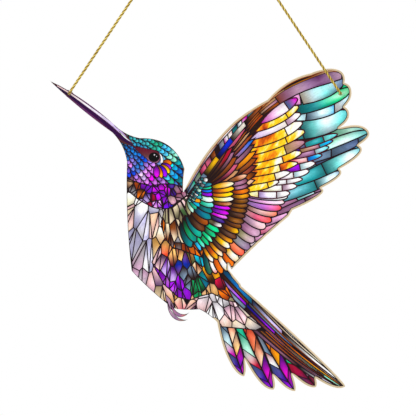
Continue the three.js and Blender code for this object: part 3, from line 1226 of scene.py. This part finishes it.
# cheek, brow and eye
picture.row(
    [
        ((162, 162), (172, 163.5)), ((161.5, 164), (171, 172)), ((159, 165), (165, 178.5)),
        ((156, 165), (157, 178)),
    ],
    [
        "rust orange", "indigo violet", "orange yellow", "royal violet", "brown orange gold",
        "purple fuchsia",
    ],
    plump=0.62, blunt=0.45, line=0.9,
)
PUPIL = (0.001, 0.001, 0.001)
lore = outline([(133, 146.5, 0.6), (150, 149.5, 2), (161, 156, 1), (157, 163, 1.5), (146, 158, 0.4)])
picture.pane(
    lore, "maroon", "cocoa", "mauve",
    axis=((150, 150), (150, 164)), glow=0.2, rim=0.3, deep=0, line=0.5,
)
picture.pane(
    outline([(158.6, 152.5, 1.8), (163, 162.5, 0.2), (160, 163, -1.2)]),
    "white", "pearl", glow=0, rim=0, deep=0, line=0.5,
)
picture.pane(disc(154, 157.2, 5.2, 4.7, 24), PUPIL, glow=0, rim=0, line=0.5)
for x, y, r in ((154.4, 154.8, 0.8), (156.6, 156.4, 0.5)):
    picture.pane(disc(x, y, r, r, 10), "ash", glow=0, rim=0, deep=0, line=0.1)

# Bill

upper_bill = Track((47.4, 80.2), (67.8, 91.2), (88.4, 105.2), (110, 121), (121, 130.5), (135, 146.5))
lower_bill = Track((47.6, 80.8), (66.9, 95.6), (85.9, 110.8), (107.3, 128.6), (119, 139.5), (137, 147.5))
bill = Leaf(upper_bill, lower_bill)
SATIN = {"glow": 0, "rim": 0, "deep": 0}
picture.pane(
    bill.cell(0, 1, -0.25, 1.25, steps=24),
    "umber", "plum", "cocoa", axis=((50, 82), (125, 138)), line=0.3, **SATIN,
)
picture.pane(
    bill.cell(0.04, 0.97, 0.42, 0.88, steps=24),
    "night", "aubergine", "aubergine", axis=((50, 82), (122, 132)), line=0.1, **SATIN,
)
picture.pane(
    bill.cell(0.1, 0.88, 0.02, 0.34, steps=24),
    "blush", "pearl", "lilac", axis=((50, 82), (122, 132)), line=0.1, **SATIN,
)
picture.pane(
    outline([(118.5, 130.5, -1.7), (133, 143, 0.2)]),
    "lilac", "white", "white", line=0.4, **SATIN,
)

# Claws

leg = feather((165.2, 294), (175.1, 312.6), 2.2, 2.6, 0)
lower_claw = feather((167.4, 300.8), (187.6, 319.5), -5.3, 8.6, 0.5)
upper_claw = feather((170.6, 301.4), (189.3, 312.3), -5.8, 9.6, 0.6)
for claw, shades in (
    (leg, "dusk heather"), (lower_claw, "plum dusk heather tan"),
    (upper_claw, "plum mauve heather salmon"),
):
    picture.pane(
        claw.cell(steps=12), *shades.split(),
        axis=(claw.at(0, 0.5), claw.at(1, 0.5)), glow=0.1, deep=0.1, line=0.8,
    )

# The print as one flat piece, with painted edge light and shade on its clear border

PRINT_LIFT = 0.02 * MM
SHADE_STEP = 2.2  # between the points that carry the shades inside a pane
GRAIN_SCALE = 0.1
SMALLEST_GLASS = 0.1
SMALLEST_BAND = 0.01
RIM_WIDTH = 1.9
# the clear border's painted edge light and shade: lighter cream at the cut, darker beige further in
PAINTED_EDGE_LIGHT_AT_CUT = TINT["cream"].lerp(TINT["sand"], 0.4)
PAINTED_EDGE_SHADE_INSIDE = TINT["champagne"].lerp(TINT["khaki"], 0.3)
RIM_START, RIM_FULL = 182, 190  # across the drawing
NECK = (214, 190)  # the border stops below the wing's root, up to this place
NOTCH = Vector((231.8, 269.6))  # between the wing and the tail
CLAW_LEFT, CLAW_RIGHT, CLAW_TOP = 163, 191, 297
BILL_END = 114
WING_ROOT = (183, 197)
LEADING_SLOPE = 0.82  # of a line just below the wings' leading edge


def rim_width(place):
    """How far the clear border, painted with edge light and shade, reaches in from the cut edge: round the
    wings and the tail only.
    """
    if place.x < RIM_START or (place.y > NECK[1] and place.x < NECK[0]):
        return 0.0
    if place.x < RIM_FULL:
        return RIM_WIDTH * (place.x - RIM_START) / (RIM_FULL - RIM_START)
    return min(RIM_WIDTH, 0.3 + 0.25 * (place - NOTCH).length)


def contour_width(place):
    """How broad the dark line is where the picture ends. The claws and the bill have none."""
    if place.x < BILL_END or (CLAW_LEFT < place.x < CLAW_RIGHT and place.y > CLAW_TOP):
        return 0.0
    return 0.75 if rim_width(place) > 0.9 else 0.5


def contour_shade(place):
    """The line's colour: warm along the leading edge of the wings."""
    along = place.x - WING_ROOT[0]
    leading = along > 3 and place.y < WING_ROOT[1] - along * LEADING_SLOPE
    return TINT["copper"] * 0.9 if leading else LEAD


def front_loops(node):
    """The cut outline and the holes of the sheet, from its front face, in units of the drawing."""
    copy = bmesh.new()
    copy.from_mesh(node.data)
    bmesh.ops.remove_doubles(copy, verts=copy.verts, dist=1e-6)
    front = min(v.co.y for v in copy.verts)
    back = [f for f in copy.faces if any(v.co.y > front + 1e-5 for v in f.verts)]
    bmesh.ops.delete(copy, geom=back, context="FACES")
    edges = {edge for edge in copy.edges if edge.is_boundary and edge.is_valid}
    loops = []
    while edges:
        edge = edges.pop()
        first, current = edge.verts
        loop = [first, current]
        while current is not first:
            following = next(e for e in current.link_edges if e in edges)
            edges.discard(following)
            current = following.other_vert(current)
            loop.append(current)
        loops.append([Vector((v.co.x / UNIT + HOOK[0], HOOK[1] - v.co.z / UNIT)) for v in loop[:-1]])
    copy.free()
    loops.sort(key=len, reverse=True)
    return [tidy_loop(loop) for loop in loops], front


def border_in(cut):
    """The inner side of the clear border, and the way inwards at each of its points."""
    inward = [inner - place for place, inner in zip(cut, moved_in(cut, 1.0))]
    for _ in range(3):
        inward = smoothed(inward)
    return [place + step * rim_width(place) for place, step in zip(cut, inward)], inward


class Layout:
    """The loops of the print, each laid over the ones before it, ready to be cut into triangles."""

    def __init__(self, cut, holes):
        self.points, self.faces, self.meanings, self.areas = [], [], [], []
        self.spilt = set()
        self.sheet = self.add(cut, "sheet")
        self.holes = {self.add(hole, "hole") for hole in holes}
        border, inward = border_in(cut)
        self.border = self.add(border, "border")
        self.windows = {name: self.add(loop, "window") for name, loop in picture.windows.items()}
        for pane in picture.panes:
            self.add_pane(pane)
        self.add_contour(border, inward)
        self.add_shade_points(cut, border)

    def add(self, loop, kind, pane=None):
        # the fill starts at the first edge, so that one lies where the area is wide, not in a pinched tip
        middle = sum(loop, Vector((0, 0))) / len(loop)
        first = min(range(len(loop)), key=lambda i: (loop[i] - middle).length)
        loop = loop[first:] + loop[:first]
        self.areas.append(area_in(loop))
        self.faces.append(list(range(len(self.points), len(self.points) + len(loop))))
        self.points.extend(loop)
        self.meanings.append((kind, pane))
        return len(self.faces) - 1

    def add_pane(self, pane):
        half = pane["line"] / 2
        self.add(moved_in(pane["loop"], -half), "lead", pane)
        inner = shrunk(pane["loop"], half)
        if len(inner) > 2 and area_in(inner) >= SMALLEST_GLASS:
            self.add(inner, "glass", pane)

    def add_contour(self, border, inward):
        for i, place in enumerate(border):
            j = (i + 1) % len(border)
            ends = [border[k] + inward[k] * contour_width(border[k]) for k in (j, i)]
            band = tidy_loop([place, border[j], *ends])
            if len(band) > 2 and area_in(band) > SMALLEST_BAND:
                self.add(band, "lead", {"lead": contour_shade(place), "within": None})

    def add_shade_points(self, cut, border):
        low = Vector((min(p.x for p in cut), min(p.y for p in cut)))
        high = Vector((max(p.x for p in cut), max(p.y for p in cut)))
        for i in range(int((high.x - low.x) / SHADE_STEP)):
            for j in range(int((high.y - low.y) / SHADE_STEP)):
                place = low + Vector((i + 0.5 * (j % 2), j)) * SHADE_STEP
                if inside(place, border):
                    self.points.append(place)

    def triangles(self):
        """Corner places, triangles, the points at each corner and the loops over each triangle."""
        places, _, triangles, origins, _, covers = delaunay_2d_cdt(self.points, [], self.faces, 1, 1e-5)
        filled = [0.0] * len(self.faces)
        for triangle, cover in zip(triangles, covers):
            a, b, c = (Vector(places[i]) for i in triangle)
            for i in cover:
                filled[i] += abs((b - a).cross(c - a)) / 2
        # a fill that leaks out of its loop covers far more than the loop does, and is left out
        self.spilt = {i for i, area in enumerate(self.areas) if filled[i] > 1.4 * area + 1}
        return places, triangles, origins, covers

    def top(self, cover):
        """What shows under a cover of loops: its kind, if there is print at all, and its pane."""
        if self.sheet not in cover or self.holes & set(cover):
            return None, None
        # outside the print the clear border shows, coloured with painted edge light and shade
        if self.border not in cover:
            return "rim", None
        for i in sorted(cover, reverse=True):
            kind, pane = self.meanings[i]
            if i in self.spilt or kind == "window":
                continue
            if not (pane and pane["within"]) or self.windows[pane["within"]] in cover:
                break
        return (None, None) if kind in ("sheet", "border") else (kind, pane)


def corner_look(kind, pane, place, on_cut):
    """The colour (print, or painted edge light and shade on the clear border), the traits (heat, lead and
    rim) and the grain of the print at a corner.
    """
    # the rim is the clear border: painted edge light at the cut, painted shade further in
    if kind == "rim":
        return PAINTED_EDGE_LIGHT_AT_CUT if on_cut else PAINTED_EDGE_SHADE_INSIDE, (0.0, 0.0, 1.0), place * GRAIN_SCALE
    if kind == "lead":
        return pane["lead"], (0.0, 1.0, 0.0), place * GRAIN_SCALE
    offset = place - pane["middle"]
    forth = offset.dot(pane["along"]) * GRAIN_SCALE + pane["shift"]
    grain = (forth, offset.dot(pane["across"]) * GRAIN_SCALE)
    return picture.colour(pane, place), (picture.warmth(pane, place), 0.0, 0.0), grain


def printed_piece_with_edge_light(node):
    loops, front = front_loops(node)
    layout = Layout(loops[0], loops[1:])
    places, triangles, origins, covers = layout.triangles()
    cut_points = {i for i, origin in enumerate(origins) if any(k < len(loops[0]) for k in origin)}
    shape = bmesh.new()
    dye = shape.loops.layers.float_color.new("dye")
    grain = shape.loops.layers.uv.new("grain")
    trait = shape.loops.layers.float_color.new("trait")
    corners = {}
    for triangle, cover in zip(triangles, covers):
        kind, pane = layout.top(cover)
        a, b, c = (Vector(places[i]) for i in triangle)
        flat = (b - a).cross(c - a)
        if kind is None or abs(flat) < 1e-7:
            continue
        order = triangle if flat < 0 else triangle[::-1]
        for i in order:
            if i not in corners:
                x, z = on_sheet(*places[i])
                corners[i] = shape.verts.new((x, front - PRINT_LIFT, z))
        face = shape.faces.new([corners[i] for i in order])
        for loop, i in zip(face.loops, order):
            colour, traits, streak = corner_look(kind, pane, Vector(places[i]), i in cut_points)
            loop[dye] = (*colour, 1.0)
            loop[trait] = (*traits, 1.0)
            loop[grain].uv = streak
    return piece_of("printed_feathers_and_edge_light", shape)


def printed_glass_and_edge_light():
    recipe = new_finish("printed_glass_and_edge_light")
    dye = recipe.node("ShaderNodeAttribute", {"attribute_name": "dye"}, output=0)
    trait = recipe.node("ShaderNodeAttribute", {"attribute_name": "trait"}, output=0)
    heat = recipe.node("ShaderNodeSeparateColor", None, {"Color": trait})
    # rim marks the clear border's painted edge light and shade, which takes no glass streaks
    lead, rim = heat.beside(1), heat.beside(2)
    grain = recipe.node("ShaderNodeUVMap", {"uv_map": "grain"})
    place = recipe.node("ShaderNodeTexCoord", output=3)
    streak = recipe.noise(recipe.stretched(grain, (0.9, 6.0, 1.0)), 1.6, 3.0, 0.6)
    fleck = recipe.noise(grain, 26.0, 2.0)
    cloud = recipe.noise(place, 210.0, 3.0, 0.6)
    glass = (1 - lead) * (1 - rim)
    shade = 1 + (streak - 0.5) * 0.6 * glass + (cloud - 0.5) * 0.5 * glass + (fleck - 0.5) * 0.16 * glass
    grey = recipe.node("ShaderNodeCombineColor", None, {0: shade, 1: shade, 2: shade})
    colour = recipe.mix(1.0, dye, grey, "MULTIPLY")
    colour = recipe.node("ShaderNodeHueSaturation", None, {"Saturation": 1.12, "Color": colour})
    across_flame = recipe.along(place, (0.90, 0.0, -0.43)) * 260.0
    up_flame = recipe.along(place, (0.43, 0.0, 0.90)) * 90.0
    tongue = recipe.node("ShaderNodeCombineXYZ", None, {0: across_flame, 1: up_flame})
    flame = recipe.noise(tongue, 1.0, 3.0, 0.55)
    hot = recipe.ramp(
        (heat + (flame - 0.5) * 1.5).clamped(),
        [
            (0.0, linear((70, 24, 6))), (0.2, linear((184, 66, 6))), (0.36, linear((242, 116, 6))),
            (0.52, linear((255, 190, 12))), (0.68, linear((255, 228, 40))),
            (0.82, linear((255, 250, 190))), (0.92, linear((255, 255, 250))),
        ],
    )
    colour = recipe.mix((heat * 20.0).clamped(), colour, hot)
    wisp = ((streak - 0.62) * 4.0).clamped() * glass * 0.1
    colour = recipe.mix(wisp, colour, (1.0, 1.0, 1.0, 1.0))
    height = streak * 0.4 + fleck * 0.3 + lead * 0.5
    bump = recipe.node("ShaderNodeBump", None, {"Strength": 0.12, "Distance": 0.0002, "Height": height})
    shader = recipe.node(
        "ShaderNodeBsdfPrincipled", None,
        {
            "Base Color": colour,
            "Roughness": (0.22 + fleck * 0.16).clamped(),
            "Specular IOR Level": 0.12,
            "Coat Weight": 0.12,
            "Coat Roughness": 0.06,
            "Normal": bump,
        },
    )
    return recipe.surface(shader)


def clear_acrylic():
    recipe = new_finish("clear_acrylic")
    place = recipe.node("ShaderNodeTexCoord", output=3)
    normal = recipe.node("ShaderNodeTexCoord", output=1)
    facing = recipe.node("ShaderNodeSeparateXYZ", None, {0: normal}, 1)
    cut = (1 - facing.maths("ABSOLUTE", facing)).clamped()
    cloud = recipe.noise(place, 60.0, 3.0)
    saw = recipe.noise(recipe.stretched(place, (1.0, 0.04, 1.0)), 2200.0, 1.0)
    colour = recipe.ramp(
        cloud,
        [(0.3, linear((236, 240, 240))), (0.7, linear((248, 244, 232)))],
    )
    gloss = recipe.node("ShaderNodeLayerWeight", None, {"Blend": 0.35}, 1)
    veil = (cut * (0.3 + saw * 0.3) + gloss * 0.4 + 0.05).clamped()
    bump = recipe.node(
        "ShaderNodeBump", None,
        {"Strength": 0.25, "Distance": 0.0001, "Height": saw * cut},
    )
    body = recipe.node(
        "ShaderNodeBsdfPrincipled", None,
        {
            "Base Color": colour,
            "Roughness": (0.06 + cut * 0.12).clamped(),
            "IOR": 1.49,
            "Normal": bump,
        },
    )
    clear = recipe.node("ShaderNodeBsdfTransparent", None, {"Color": (0.985, 0.99, 0.985, 1.0)})
    shader = recipe.node("ShaderNodeMixShader", None, {0: veil, 1: clear, 2: body})
    return recipe.surface(shader)


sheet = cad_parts["acrylic_sheet"]
sheet.data.materials.clear()
sheet.data.materials.append(clear_acrylic())
art = printed_piece_with_edge_light(sheet)
art.data.materials.append(printed_glass_and_edge_light())
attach(art, "root")

# Floor, air and lights

FLOOR_Z = -0.75

floor_shape = bmesh.new()
bmesh.ops.create_grid(floor_shape, x_segments=8, y_segments=8, size=6)
bmesh.ops.translate(floor_shape, verts=floor_shape.verts, vec=(0, 0, FLOOR_Z))
floor = piece_of("pale_floor", floor_shape)
plaster = new_finish("pale_plaster")
grain_place = plaster.node("ShaderNodeTexCoord", output=3)
speckle = plaster.noise(grain_place, 40.0, 4.0)
plaster_colour = plaster.ramp(speckle, [(0.3, (0.80, 0.80, 0.80)), (0.7, (0.84, 0.84, 0.835))])
floor.data.materials.append(
    plaster.surface(
        plaster.node("ShaderNodeBsdfPrincipled", None, {"Base Color": plaster_colour, "Roughness": 0.8})
    )
)

world = bpy.data.worlds.new("studio_air")
bpy.context.scene.world = world
air = Recipe(world)
seen = air.node("ShaderNodeBackground", None, {"Color": (1, 1, 1, 1), "Strength": 1.0})
felt = air.node("ShaderNodeBackground", None, {"Color": (1, 1, 1, 1), "Strength": 0.55})
to_camera = air.node("ShaderNodeLightPath")
air.surface(
    air.node("ShaderNodeMixShader", None, {0: to_camera, 1: felt, 2: seen}),
    "ShaderNodeOutputWorld",
)


def soft_light(name, place, target, size, power):
    data = bpy.data.lights.new(name, "AREA")
    data.shape = "RECTANGLE"
    data.size, data.size_y = size
    data.energy = power
    light = bpy.data.objects.new(name, data)
    bpy.context.scene.collection.objects.link(light)
    light.location = place
    light.rotation_euler = (Vector(target) - Vector(place)).to_track_quat("-Z", "Y").to_euler()


middle = (0, 0, -0.2)
soft_light("key_left", (-1.5, -1.5, 0.9), middle, (1.0, 1.0), 22)
soft_light("fill_right", (1.6, -1.4, 0.2), middle, (1.0, 1.2), 12)
soft_light("back_fill", (0.4, 1.9, 0.8), middle, (1.4, 1.0), 18)

scene = bpy.context.scene
scene.view_settings.view_transform = "Standard"
scene.view_settings.look = "None"
